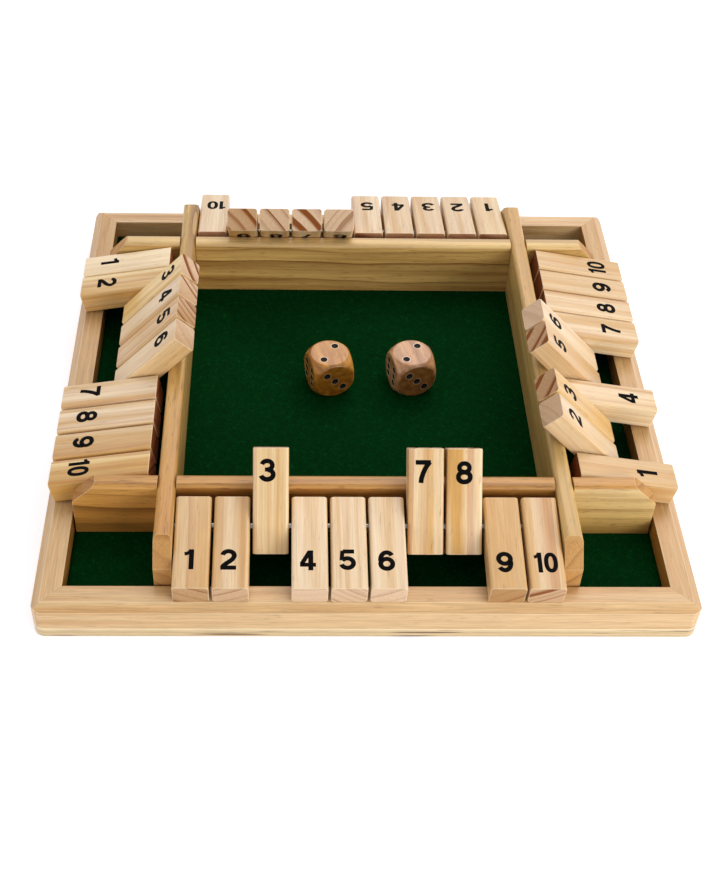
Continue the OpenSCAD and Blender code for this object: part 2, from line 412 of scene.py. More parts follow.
# Birch plywood edge: pale long-grain plies between darker end-grain ones, with a few brown gaps in the core
def plywoodFinish(add, look):
    spot = add("ShaderNodeTexCoord").outputs["Object"]
    inMm = add("ShaderNodeVectorMath", {0: spot, "Scale": 1000.0}, "SCALE")
    height = add("ShaderNodeSeparateXYZ", [inMm]).outputs["Z"]
    drift = add("ShaderNodeTexNoise", {"Vector": inMm, "Scale": 0.03, "Detail": 2.0})
    drifted = add("ShaderNodeMath", [drift, 0.5, height], "MULTIPLY_ADD")
    ply = add("ShaderNodeMath", [drifted, look["ply"] * 2], "DIVIDE")
    wave = add("ShaderNodeMath", [ply, 0.5], "PINGPONG")
    dark = add("ShaderNodeMapRange", [wave, 0.21, 0.29, 0.0, 0.55])
    fibres = stretchedNoise(add, inMm, (0.08, 0.08, 2.6), 4.0)
    grainPart = add("ShaderNodeMapRange", [fibres, 0.35, 0.65, 0.88, 1.08])
    holes = stretchedNoise(add, inMm, (0.025, 0.025, 0.9), 2.0)
    holePart = add("ShaderNodeMapRange", [holes, 0.63, 0.69, 0.0, 1.0])
    layers = [(dark, "endGrain", "MIX"), (holePart, "gap", "MIX")]
    # long gaps in the front edge, each an uneven lens
    for middle, halfSize in look["gaps"]:
        away = add("ShaderNodeVectorMath", [inMm, middle], "SUBTRACT")
        inLens = add("ShaderNodeVectorMath", [away, halfSize], "DIVIDE")
        radius = add("ShaderNodeVectorMath", [inLens], "LENGTH")
        ragged = add("ShaderNodeMath", [holes, -1.6, radius], "MULTIPLY_ADD")
        layers.append((add("ShaderNodeMapRange", [ragged, -0.1, 0.3, 0.85, 0.0]), "gap", "MIX"))
    # a pale line along the top of the edge: painted highlight
    layers.append((add("ShaderNodeMapRange", [height, 4.9, 5.4, 0.0, 0.8]), "crest", "MIX"))
    colour = layColours(add, look, "longGrain", layers)
    shaded = add("ShaderNodeMix", {0: 1.0, 6: colour, 7: grainPart}, data_type="RGBA", blend_type="MULTIPLY")
    bump = add("ShaderNodeBump", {"Strength": 0.3, "Distance": 0.0002, "Height": fibres})
    return {
        "Base Color": shaded, "Roughness": 0.5, "Normal": bump, "Coat Weight": 0.5, "Coat Roughness": 0.35}


plywood = newMaterial(plywoodFinish, {
    "name": "lacquered_plywood", "ply": 1.2,  # mm thick
    "longGrain": "#d9c39a", "endGrain": "#bfa275", "gap": "#5c3a1e", "crest": "#f6e6c6",
    # middle and half size of each, in mm
    "gaps": [((-64, -150, 2.0), (18, 4, 0.75)), ((27, -150, 3.5), (15, 4, 0.6))],
})


# Hardboard: brown pressed fibres, matt
def hardboardFinish(add, look):
    spot = add("ShaderNodeTexCoord").outputs["Object"]
    fibres = add("ShaderNodeTexNoise",
                 {"Vector": spot, "Scale": 1 / (2 * mm), "Detail": 6.0, "Roughness": 0.7})
    colour = add("ShaderNodeMix", {0: fibres, 6: look["dark"], 7: look["light"]}, data_type="RGBA")
    bump = add("ShaderNodeBump", {"Strength": 0.4, "Distance": 0.0002, "Height": fibres})
    return {"Base Color": colour, "Roughness": 0.8, "Normal": bump}


hardboard = newMaterial(hardboardFinish, {"name": "bare_hardboard", "dark": "#4a2f1c", "light": "#6b4a2e"})


# Bright drawn steel: long die lines of about 0.1 mm, drawn at 0.3 mm to show
def steelFinish(add, look):
    spot = add("ShaderNodeTexCoord").outputs["Object"]
    lines = add("ShaderNodeTexNoise", {"Vector": spot, "Scale": 1 / (1.2 * mm), "Detail": 3.0})
    colour = add("ShaderNodeMix", {0: lines, 6: look["dull"], 7: look["bright"]}, data_type="RGBA")
    rough = add("ShaderNodeMapRange", [lines, 0.3, 0.7, 0.2, 0.36])
    return {"Base Color": colour, "Metallic": 1.0, "Roughness": rough}


steel = newMaterial(steelFinish, {"name": "bright_drawn_steel", "dull": "#73726f", "bright": "#9d9c99"})


# Varnished hardwood with painted pips: warm brown, short dark pores, a glossy film over wood and paint alike,
# and a pale ring round each pip that is a painted highlight
def diceFinish(add, look):
    grain = add("ShaderNodeAttribute", attribute_name="grain").outputs["Vector"]
    end, pip = (
        add("ShaderNodeAttribute", attribute_name=name).outputs["Fac"] for name in ("endGrain", "pip"))
    bands = stretchedNoise(add, grain, (0.3, 0.03, 0.3), 4.0)
    bandPart = add("ShaderNodeMapRange", [bands, 0.3, 0.7, 0.0, 1.0])
    pores = stretchedNoise(add, grain, (1.9, 0.35, 1.9), 1.5)
    porePart = add("ShaderNodeMapRange", [pores, 0.58, 0.68, 0.0, look["poreStrength"]])
    edge = look["pipRadius"]
    painted = add("ShaderNodeMapRange", [pip, edge - 0.12, edge + 0.12, 1.0, 0.0])
    # a pale ring round each pip: painted highlight
    rimmed = add("ShaderNodeMapRange", [pip, edge + 0.15, edge + 0.6, 0.9, 0.0])
    faint = add("ShaderNodeMath", [end, -0.8, 1.0], "MULTIPLY_ADD", use_clamp=True)
    rimShare = add("ShaderNodeMath", [rimmed, faint], "MULTIPLY")
    colour = layColours(add, look, "light", [
        (bandPart, "dark", "MIX"), (porePart, "pore", "MIX"),
        (end, "endDeep", "MULTIPLY"),  # end grain drinks the varnish and darkens; it faces front and back, so this also paints shade on the front face
        (rimShare, "rim", "MIX"), (painted, "paint", "MIX")])
    film = add("ShaderNodeMapRange", {0: painted, 3: 0.7, 4: 0.06})
    rough = add("ShaderNodeMapRange", {0: painted, 3: 0.35, 4: 0.7})
    bump = add("ShaderNodeBump", {"Strength": 0.2, "Distance": 0.0002, "Height": pores})
    return {
        "Base Color": colour, "Roughness": rough, "Normal": bump, "Specular IOR Level": 0.2,
        "Coat Weight": film, "Coat Roughness": 0.25}


diceWoods = {
    "a": newMaterial(diceFinish, {
        "name": "varnished_dice_wood_golden", "light": "#dba04a", "dark": "#965a17", "pore": "#84420f",
        "poreStrength": 0.4, "endDeep": "#b0a882", "paint": "#050408", "rim": "#f2d8b0", "pipRadius": 1.8}),
    "b": newMaterial(diceFinish, {
        "name": "varnished_dice_wood_rosy", "light": "#daaa7e", "dark": "#90603a", "pore": "#6a3414",
        "poreStrength": 0.35, "endDeep": "#988a68", "paint": "#050408", "rim": "#f2dcc6", "pipRadius": 1.8}),
}
print("materials made")


tray = {
    "half": 150, "baseHeight": 6, "railHeight": 14, "railWidth": 13.2,  # mm
    "bevelWidth": 4, "bevelHeight": 3.2, "cornerRadius": 5,
    "baseRound": 0.8, "railRound": 0.7, "mitreGap": 0.03, "sawn": ((0, 172, 31), (37, 9, -5)),
    "tones": {"front": 0.22, "right": 0.5, "back": -0.05, "left": 0.35},
    # the inner walls darker: painted shade
    "wallTones": {"front": 1.0, "right": 1.25, "back": 0.1, "left": 1.5},
    "wallReach": 0.3, "topReach": 0.02,  # mm that a point may lie off the wall and must lie below the top
}
railTop = tray["baseHeight"] + tray["railHeight"]
railInner = tray["half"] - tray["railWidth"]


# outline of the tray's plan with round corners, as points in mm
def trayPlan(half, radius, steps=10):
    points = []
    for corner in range(4):
        for i in range(steps + 1):
            angle = math.radians(90 * i / steps)
            x, y = half - radius + radius * math.cos(angle), half - radius + radius * math.sin(angle)
            for _ in range(corner):
                x, y = -y, x
            points.append((x, y))
    return points


def prism(name, plan, low, high):
    count = len(plan)
    points = [(x, y, z) for z in (low, high) for x, y in plan]
    faces = [tuple(range(count))[::-1], tuple(range(count, 2 * count))]
    faces += [(i, (i + 1) % count, count + (i + 1) % count, count + i) for i in range(count)]
    return newSolid(name, points, faces)


base = prism("basePanel", trayPlan(tray["half"], tray["cornerRadius"]), 0, tray["baseHeight"])
roundEdges(base, tray["baseRound"], steps=3, angle=38)
base.data.materials.append(plywood)
smoothShading(base)
place(base, "frame", "base_panel", "plywood")

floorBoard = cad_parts["floor_board"].data
floorBoard.materials.clear()
floorBoard.materials.append(hardboard)

cloth = {
    "floorHeight": 3, "thickness": 0.8, "edgeGap": 0.2, "steps": 130,
    "ripple": 0.05, "swing": 0.6,  # mm deep, and the share of it that the waves fill
    "waves": ((0.09, 3, 1.0), (0.5, 9, 0.6)),  # changes per mm, where the noise is read, share
}
clothTop = tray["baseHeight"] + cloth["floorHeight"] + cloth["thickness"]
cloth["half"] = tray["half"] - (tray["railWidth"] + cloth["edgeGap"])
clothShape = bmesh.new()
bmesh.ops.create_grid(
    clothShape, x_segments=cloth["steps"], y_segments=cloth["steps"], size=cloth["half"] * mm)
for vertex in clothShape.verts:
    x, y = vertex.co.x / mm, vertex.co.y / mm
    lift = 0
    for rate, level, share in cloth["waves"]:
        lift += share * noise.noise(Vector((x * rate, y * rate, level)))
    vertex.co.z = (clothTop + cloth["ripple"] * (cloth["swing"] * lift - 1)) * mm
lining = linkObject("feltLining", keepShape(clothShape, bpy.data.meshes.new("feltLining")))
depth = lining.modifiers.new("thickness", "SOLIDIFY")
depth.thickness = (cloth["thickness"] - cloth["ripple"]) * mm
depth.offset = -1
settle(lining)
lining.data.materials.append(felt)
for face in lining.data.polygons:
    face.use_smooth = True
place(lining, "frame", "felt_lining", "felt")


# a bar whose section is drawn as (distance to the front, height), with its half length at each point
def barAlongX(section, reach):
    count = len(section)
    points = [(s * reach(out, z), -out, z) for s in (-1, 1) for out, z in section]
    faces = [(i, (i + 1) % count, count + (i + 1) % count, count + i) for i in range(count)]
    return points, faces, count


def makeRail(side):
    sideName = sideNames[side]
    outer, low, top = tray["half"], tray["baseHeight"], railTop
    section = [
        (railInner, low), (outer, low), (outer, top - tray["bevelHeight"]), (outer - tray["bevelWidth"], top),
        (railInner, top),
    ]
    points, faces, count = barAlongX(section, lambda out, z: out - tray["mitreGap"])
    faces += [tuple(range(count)), tuple(range(count, 2 * count))]
    rail = newSolid("rail" + sideName.capitalize(), points, faces)
    cutWith(rail, prism("corners", trayPlan(outer, tray["cornerRadius"]), low - 1, top + 1), "INTERSECT")
    roundEdges(rail, tray["railRound"], steps=2, angle=30)
    storeGrain(rail.data, tray["sawn"], side, tray["tones"][sideName])
    # inner walls take the darker wall tone: painted shade
    for mark, vertex in zip(rail.data.attributes["tone"].data, rail.data.vertices):
        out, height = -vertex.co.y / mm, vertex.co.z / mm
        if out < railInner + tray["wallReach"] and height < top - tray["topReach"]:
            mark.value = tray["wallTones"][sideName]
    finishBar(rail, "rail", side, railPine, "pine", narrow=0.6)


for side in range(4):
    makeRail(side)
print("tray made")


tile = {
    "count": 10, "width": 16.2, "gap": 1.3, "thickness": 12.2, "tail": 12.2,  # mm
    "edgeRadius": 1.5, "endRound": 0.45, "bore": 3.2, "restGap": 0.15,
    # tail ends darkened: painted shade next to the dividers
    "tailStain": {"front": 0.5, "right": 1.0, "back": 0.65, "left": 1.0},
    "toneAcross": {"front": 0.0, "right": 0.0, "back": 0.0, "left": 0.03},  # per mm of width
    # a yellow tint: painted warm light bounced into the tiles' shade
    "cast": {"front": 0.0, "right": 0.05, "back": 0.0, "left": 0.05},
    # a letter for each tile, open or shut
    "rows": {"front": "oosooossoo", "right": "ossossoooo", "back": "ooooosssso", "left": "oossssoooo"},
    "seed": 7,
}
tilePitch = tile["width"] + tile["gap"]
halfThick = tile["thickness"] / 2

divider = {
    "thickness": 8.4, "height": 31.6, "rowGap": 0.6, "endGap": 1, "topRound": 2.5, "chamfer": 11,
    "lapGap": 0.15, "seatDepth": 5, "seatPlay": 0.03, "edgeRound": 0.3, "roundSteps": 8,
    "spare": 1,  # mm that the cutters stand out of the wood
    "sawn": ((0, 123.85, 12), (61, 7, 9)),
    "topPart": 0.6, "rubbedPart": 0.8,  # how far down the round each reaches, as shares of its radius
    # tone of each stretch of the faces, at the top and at the foot: left end, between the laps, right end. On
    # the front they paint light and shade: darker towards the foot, darkest between the laps where the tiles
    # shade the face, and pale at the top of the right end
    "faceTones": {
        "front": ((0.7, 1.2), (1.5, 1.5), (-1.0, 0.4)), "right": ((0, 0), (0, 0), (0, 0)),
        "back": ((0.2, 0.2), (0.15, 0.25), (0.2, 0.2)), "left": ((0.3, 0.3), (0.3, 0.3), (0.3, 0.3)),
    },
    # an olive tint towards the foot of the front divider's right end: painted shade
    "frontCasts": ((0.0, 0.0), (0.0, 0.0), (-1.5, 1.0)),
    # tone in the middle and its change per mm
    "topTones": {"front": (0.8, 0.0), "right": (0.3, 0.002), "back": (0.0, 0.0), "left": (0.4, 0.004)},
    "figures": {"front": (1.0, 1.0, 0.3), "right": (1, 1, 1), "back": (1.5, 1.5, 1.5), "left": (1, 1, 1)},
    # a painted highlight along each divider's rounded top, strongest on the back one
    "rubbed": {"front": 0.0, "right": 0.3, "back": 1.0, "left": 0.0},
}
rod = {"radius": 1.5, "drop": 9.2, "tailGap": 2.2, "endCut": 0.3, "steps": 28}

# the well holds a row of tiles, and each rod lies where a turning tile's tail just clears the divider
dividerIn = (tile["count"] * tilePitch - tile["gap"]) / 2 + divider["rowGap"]
dividerOut = dividerIn + divider["thickness"]
dividerTop = clothTop + divider["height"]
rodOut = dividerOut + rod["tailGap"] + math.hypot(tile["tail"], halfThick)
rodHeight = dividerTop - rod["drop"]


# half laps, from the top on the front and back dividers and from below on the others, and the rods' seats
def dividerCuts(side, middle, halfGap):
    spare, depth, radius = divider["spare"], divider["seatDepth"], (rod["radius"] + divider["seatPlay"]) * mm
    low, high = (clothTop + dividerTop) / 2, dividerTop + spare
    if side % 2:
        low, high = clothTop - spare, low
    lapSize = Vector((2 * halfGap, divider["thickness"] + 2 * spare, high - low)) * mm
    cutter = bmesh.new()
    for s in (-1, 1):
        lap = Matrix.Translation(Vector((s * middle, -middle, (low + high) / 2)) * mm)
        bmesh.ops.create_cube(cutter, size=1, matrix=lap @ Matrix.Diagonal(lapSize).to_4x4())
        seat = Matrix.Translation(Vector((s * rodOut, -dividerIn + (spare - depth) / 2, rodHeight)) * mm)
        bmesh.ops.create_cone(
            cutter, cap_ends=True, segments=24, radius1=radius, radius2=radius, depth=(depth + spare) * mm,
            matrix=seat @ Matrix.Rotation(math.radians(90), 4, "X"))
    bmesh.ops.recalc_face_normals(cutter, faces=cutter.faces)
    return linkObject("cuts", keepShape(cutter, bpy.data.meshes.new("cuts")))


def makeDivider(side):
    sideName = sideNames[side]
    low, r = dividerTop - divider["chamfer"], divider["topRound"]
    section = [(dividerIn, clothTop), (dividerOut, clothTop), (dividerOut, low)]
    for centre, start in ((dividerOut - r, 0), (dividerIn + r, 90)):
        for i in range(divider["roundSteps"] + 1):
            angle = math.radians(start + 90 * i / divider["roundSteps"])
            section.append((centre + r * math.cos(angle), dividerTop - r + r * math.sin(angle)))
    section.append((dividerIn, low))
    points, faces, count = barAlongX(section, lambda out, z: railInner - divider["endGap"] - max(z - low, 0))
    for first in (0, count):
        faces += [(first, first + 1, first + 2, first + count - 1), tuple(range(first + 2, first + count))]
    bar = newSolid("divider" + sideName.capitalize(), points, faces)
    middle, halfGap = (dividerIn + dividerOut) / 2, divider["thickness"] / 2 + divider["lapGap"]
    cutWith(bar, dividerCuts(side, middle, halfGap), "DIFFERENCE")
    roundEdges(bar, divider["edgeRound"], steps=2, angle=32)

    # an edge all round at each end of each lap, so that each stretch can have a tone of its own
    shape = bmesh.new()
    shape.from_mesh(bar.data)
    for x in (-middle - halfGap, halfGap - middle, middle - halfGap, middle + halfGap):
        everything = shape.verts[:] + shape.edges[:] + shape.faces[:]
        bmesh.ops.bisect_plane(shape, geom=everything, plane_co=(x * mm, 0, 0), plane_no=(1, 0, 0), dist=1e-7)
    keepShape(shape, bar.data)
    storeGrain(bar.data, divider["sawn"], side, 0.0)
    tones, figures, casts = (bar.data.attributes[name].data for name in ("tone", "figure", "cast"))
    for tone, figure, cast, vertex in zip(tones, figures, casts, bar.data.vertices):
        x, z = vertex.co.x / mm, vertex.co.z / mm
        stretch = 1 + (x > middle) - (x < -middle)
        height = (z - clothTop) / divider["height"]
        figure.value = divider["figures"][sideName][stretch]
        if z > dividerTop - divider["topPart"] * r:
            middleTone, change = divider["topTones"][sideName]
            tone.value = middleTone + change * x
        else:
            atTop, atFoot = divider["faceTones"][sideName][stretch]
            tone.value = atFoot + (atTop - atFoot) * height
            if sideName == "front":
                atTop, atFoot = divider["frontCasts"][stretch]
                cast.value = atFoot + (atTop - atFoot) * height
    finishBar(bar, "divider", side, dividerPine, "pine")
    # painted highlight along the rounded top
    for mark, vertex in zip(bar.data.attributes["edge"].data, bar.data.vertices):
        if vertex.co.z > (dividerTop - divider["rubbedPart"] * r) * mm:
            mark.value = max(mark.value, divider["rubbed"][sideName])


def makeRod(side):
    half, r, cut, steps = dividerIn + divider["seatDepth"], rod["radius"], rod["endCut"], rod["steps"]
    points = []
    for x, radius in ((-half, r - cut), (-half + cut, r), (half - cut, r), (half, r - cut)):
        for i in range(steps):
            angle = 2 * math.pi * i / steps
            points.append((x, -rodOut + radius * math.cos(angle), rodHeight + radius * math.sin(angle)))
    faces = [(first + i, first + j, first + steps + j, first + steps + i)
             for first in (0, steps, 2 * steps) for i, j in zip(range(steps), [*range(1, steps), 0])]
    faces += [tuple(range(steps)), tuple(range(3 * steps, 4 * steps))]
    finishBar(newSolid("rod" + sideNames[side].capitalize(), points, faces), "rod", side, steel, "steel")


for side in range(4):
    makeDivider(side)
    makeRod(side)
print("dividers and rods made")


numeral = {
    "stroke": 2.2, "inkDepth": 0.06,
    "shutPlace": 24.95, "openPlace": 21.55,  # mm from the rod, along the tile
    "shutShift": -1.0, "openShift": -0.8,
}


# points along part of an oval, in mm; a power above 2 makes it squarer
def oval(cx, cy, rx, ry, start, stop, power=2.0, steps=20):
    points = []
    for i in range(steps + 1):
        angle = math.radians(start + (stop - start) * i / steps)
        x, y = (math.copysign(abs(v) ** (2 / power), v) for v in (math.cos(angle), math.sin(angle)))
        points.append((cx + rx * x, cy + ry * y))
    return points


def closedOval(cx, cy, rx, ry, power, steps):
    return oval(cx, cy, rx, ry, 0, 360, power, steps)[:-1]


# each stroke is (points, width as a share of the stroke, closed)
def digitStrokes(digit):
    if digit == 9:
        return [([(-x, -y) for x, y in points], width, closed) for points, width, closed in digitStrokes(6)]
    return {
        0: [(closedOval(0, 0, 2.6, 4.15, 2.3, 40), 1.0, True)],
        1: [([(0.75, 5.1), (0.75, -5.1)], 1.0, False),
            ([(-2.35, 2.75), (-1.2, 3.0), (-0.2, 3.6), (0.3, 4.4)], 0.8, False)],
        2: [(oval(0, 1.95, 2.55, 2.25, 172, -18)
             + [(1.75, 0.05), (0.5, -1.05), (-1.0, -2.15), (-2.1, -3.2), (-2.6, -4.3)], 1.0, False),
            ([(-3.45, -4.2), (3.5, -4.2)], 0.95, False)],
        3: [(oval(-0.1, 2.2, 2.35, 1.95, 168, -78), 0.95, False),
            (oval(-0.1, -1.95, 2.75, 2.2, 82, -168), 1.0, False), ([(-1.1, 0.3), (0.5, 0.3)], 0.85, False)],
        4: [([(1.2, 5.1), (1.2, -5.1)], 1.0, False), ([(0.75, 4.6), (-2.85, -1.95)], 0.9, False),
            ([(-3.55, -2.25), (3.5, -2.25)], 0.9, False)],
        5: [([(-2.0, 4.2), (3.1, 4.2)], 0.95, False), ([(-2.1, 4.6), (-2.55, -0.35)], 0.85, False),
            (oval(0, -1.75, 2.7, 2.45, 148, -165), 1.0, False)],
        6: [(closedOval(0, -1.65, 2.65, 2.5, 2.0, 36), 1.0, True),
            (oval(0.15, 0.1, 2.8, 4.05, 38, 185, 2.1), 1.0, False)],
        7: [([(-3.45, 4.2), (3.45, 4.2)], 0.95, False),
            ([(3.0, 4.5), (1.2, 2.0), (0.0, -0.6), (-0.75, -3.0), (-1.0, -5.1)], 1.0, False)],
        8: [(closedOval(0, 2.25, 2.25, 1.95, 2.1, 30), 0.95, True),
            (closedOval(0, -1.95, 2.7, 2.2, 2.1, 30), 1.0, True)],
    }[digit]


# the two digits of 10 are narrower, thinner and set apart
def makeNumeral(number):
    curve = bpy.data.curves.new("numeral", "CURVE")
    curve.dimensions = "3D"
    parts = [(number, 0, 1.0, 1.0)] if number < 10 else [(1, -3.45, 0.78, 0.9), (0, 2.05, 0.8, 0.9)]
    for digit, shift, squeeze, thin in parts:
        for points, width, closed in digitStrokes(digit):
            spline = curve.splines.new("POLY")
            spline.points.add(len(points) - 1)
            for point, (x, y) in zip(spline.points, points):
                point.co = ((shift + x * squeeze) * mm, y * mm, 0, 1)
                point.radius = width * thin
            spline.use_cyclic_u = closed
    return linkObject("numeral%02d" % number, curve)


numerals = {number: makeNumeral(number) for number in range(1, 11)}


# lying, a tile rests on the rail where its bevel begins; shut, it leans on the divider's round edge
run = tray["half"] - tray["bevelWidth"] - rodOut
fall = rodHeight - railTop - tile["restGap"]
tileReach = math.sqrt(run ** 2 + fall ** 2 - halfThick ** 2)
lyingTilt = math.pi + math.atan2(fall, run) - math.atan2(halfThick, tileReach)
leanRun = rodOut - dividerOut + divider["topRound"]
leanRise = rod["drop"] - divider["topRound"]
leanClear = halfThick + divider["topRound"] + tile["restGap"]
shutTilt = math.atan2(leanRise, leanRun) + math.asin(leanClear / math.hypot(leanRun, leanRise))


# One tile: a bar with rounded long edges and eased ends, bored for its rod, with its number on both faces
def makeTileTree():
    tree, add, given = newTree("numberTile", {
        "Float": ["Width", "Thickness", "Reach", "Tail", "Edge Radius", "End Round", "Bore", "Stroke",
                  "Ink Depth", "Pith Distance", "Pith Angle", "Grain Start", "Ring Scale", "Tone",
                  "Tone Across", "Cast", "Tail Stain", "Figure", "End Figure", "Tilt", "Side Turn"],
        "Vector": ["Shut Place", "Open Place", "Rod Place"],
        "Object": ["Numeral"], "Material": ["Wood", "Ink"]})

    # the axis has four points at each end, where the section shrinks along a quarter round
    profile = add("GeometryNodeCurvePrimitiveQuadrilateral",
                  {"Width": given["Width"], "Height": given["Thickness"]})
    rounded = add("GeometryNodeFilletCurve", {"Curve": profile, "Count": 5, "Radius": given["Edge Radius"]},
                  mode="POLY")
    index = add("GeometryNodeInputIndex")
    fromFar = add("ShaderNodeMath", [7.0, index], "SUBTRACT")
    step = add("ShaderNodeMath", [index, fromFar], "MINIMUM")
    angle = add("ShaderNodeMath", [step, math.pi / 6], "MULTIPLY")
    eased = []
    for curve in ("COSINE", "SINE"):
        ratio = add("ShaderNodeMath", [angle], curve)
        rest = add("ShaderNodeMath", [1.0, ratio], "SUBTRACT")
        eased.append(add("ShaderNodeMath", [rest, given["End Round"]], "MULTIPLY"))
    along, inset = eased
    near = add("ShaderNodeMath", [along, given["Tail"]], "SUBTRACT")
    far = add("ShaderNodeMath", [given["Reach"], along], "SUBTRACT")
    isFar = add("ShaderNodeMath", [index, 3.5], "GREATER_THAN")
    onAxis = add("ShaderNodeMix", {0: isFar, 2: near, 3: far})
    spot = add("ShaderNodeCombineXYZ", {"Y": onAxis})
    share = add("ShaderNodeMath", [inset, given["Width"]], "DIVIDE")
    shrink = add("ShaderNodeMath", [share, -2.0, 1.0], "MULTIPLY_ADD")
    line = add("GeometryNodeCurvePrimitiveLine", {"End": (0, 0.01, 0)})
    cut = add("GeometryNodeResampleCurve", {"Curve": line, "Count": 8})
    axis = add("GeometryNodeSetPosition", {"Geometry": cut, "Position": spot})
    upright = add("GeometryNodeSetCurveNormal", {"Curve": axis}, mode="Z_UP")
    bar = add("GeometryNodeCurveToMesh", {
        "Curve": upright, "Profile Curve": rounded, "Scale": shrink, "Fill Caps": True})

    longer = add("ShaderNodeMath", [given["Width"], 1.2], "MULTIPLY")
    drillRadius = add("ShaderNodeMath", [given["Bore"], 0.5], "MULTIPLY")
    drill = add("GeometryNodeMeshCylinder", {"Vertices": 32, "Radius": drillRadius, "Depth": longer})
    crosswise = add("GeometryNodeTransform", {"Geometry": drill, "Rotation": Euler((0, math.pi / 2, 0))})
    bored = add("GeometryNodeMeshBoolean", [bar, crosswise], "DIFFERENCE", solver="EXACT")

    # where each point lies in the tree it was sawn from, in mm
    position = add("GeometryNodeInputPosition")
    inMm = add("ShaderNodeVectorMath", {0: position, "Scale": 1000.0}, "SCALE")
    turned = add("ShaderNodeVectorRotate", {"Vector": inMm, "Angle": given["Pith Angle"]},
                 rotation_type="Y_AXIS")
    axes = add("ShaderNodeSeparateXYZ", [turned]).outputs
    scale = given["Ring Scale"]
    lengthwise = add("ShaderNodeMath", [axes["Y"], given["Grain Start"]], "ADD")
    sideways = add("ShaderNodeMath", [axes["X"], scale, given["Pith Distance"]], "MULTIPLY_ADD")
    upward = add("ShaderNodeMath", [axes["Z"], scale], "MULTIPLY")
    inTree = add("ShaderNodeCombineXYZ", [lengthwise, sideways, upward])
    marked = add("GeometryNodeStoreNamedAttribute", {"Geometry": bored, "Name": "grain", "Value": inTree},
                 data_type="FLOAT_VECTOR")
    sideOf = add("ShaderNodeSeparateXYZ", [inMm]).outputs["X"]
    toneHere = add("ShaderNodeMath", [sideOf, given["Tone Across"], given["Tone"]], "MULTIPLY_ADD")
    for name, value in (("tone", toneHere), ("figure", given["Figure"]), ("cast", given["Cast"]),
                        ("endFigure", given["End Figure"])):
        marked = add("GeometryNodeStoreNamedAttribute", {"Geometry": marked, "Name": name, "Value": value})
    facing = add("ShaderNodeSeparateXYZ", [add("GeometryNodeInputNormal")]).outputs["Y"]
    endwise = add("ShaderNodeMath", [facing], "ABSOLUTE")
    endPart = add("ShaderNodeMapRange", [endwise, 0.4, 0.7])
    # tail end faces get endGrain above 1: painted shade
    atTail = add("ShaderNodeMath", [facing, -0.7], "LESS_THAN")
    stained = add("ShaderNodeMath", [atTail, given["Tail Stain"], endPart], "MULTIPLY_ADD")
    ended = add("GeometryNodeStoreNamedAttribute", {"Geometry": marked, "Name": "endGrain", "Value": stained},
                domain="FACE")

    # the number, printed once on each broad face
    drawn = add("GeometryNodeObjectInfo", {"Object": given["Numeral"]}).outputs["Geometry"]
    level = add("GeometryNodeSetCurveNormal", {"Curve": drawn}, mode="Z_UP")
    nib = add("GeometryNodeCurvePrimitiveQuadrilateral",
              {"Width": given["Stroke"], "Height": given["Ink Depth"]})
    strokes = add("GeometryNodeCurveToMesh", {
        "Curve": level, "Profile Curve": nib, "Scale": add("GeometryNodeInputRadius"), "Fill Caps": True})
    onShutFace = add("GeometryNodeTransform", {"Geometry": strokes, "Translation": given["Shut Place"]})
    onOpenFace = add("GeometryNodeTransform", {
        "Geometry": strokes, "Translation": given["Open Place"], "Rotation": Euler((math.pi, 0, 0))})
    printed = add("GeometryNodeJoinGeometry", [[onShutFace, onOpenFace]])
    inked = add("GeometryNodeStoreNamedAttribute", {"Geometry": printed, "Name": "inked", "Value": True},
                data_type="BOOLEAN", domain="FACE")

    whole = add("GeometryNodeJoinGeometry", [[ended, inked]])
    tilt = add("ShaderNodeCombineXYZ", {"X": given["Tilt"]})
    onRod = add("GeometryNodeTransform",
                {"Geometry": whole, "Translation": given["Rod Place"], "Rotation": tilt})
    sideTurn = add("ShaderNodeCombineXYZ", {"Z": given["Side Turn"]})
    onSide = add("GeometryNodeTransform", {"Geometry": onRod, "Rotation": sideTurn})
    real = add("GeometryNodeRealizeInstances", [onSide])
    isInk = add("GeometryNodeInputNamedAttribute", {"Name": "inked"}, data_type="BOOLEAN")
    wooden = add("GeometryNodeSetMaterial", {"Geometry": real, "Material": given["Wood"]})
    finished = add("GeometryNodeSetMaterial",
                   {"Geometry": wooden, "Selection": isInk, "Material": given["Ink"]})
    add("NodeGroupOutput", [finished])
    return tree
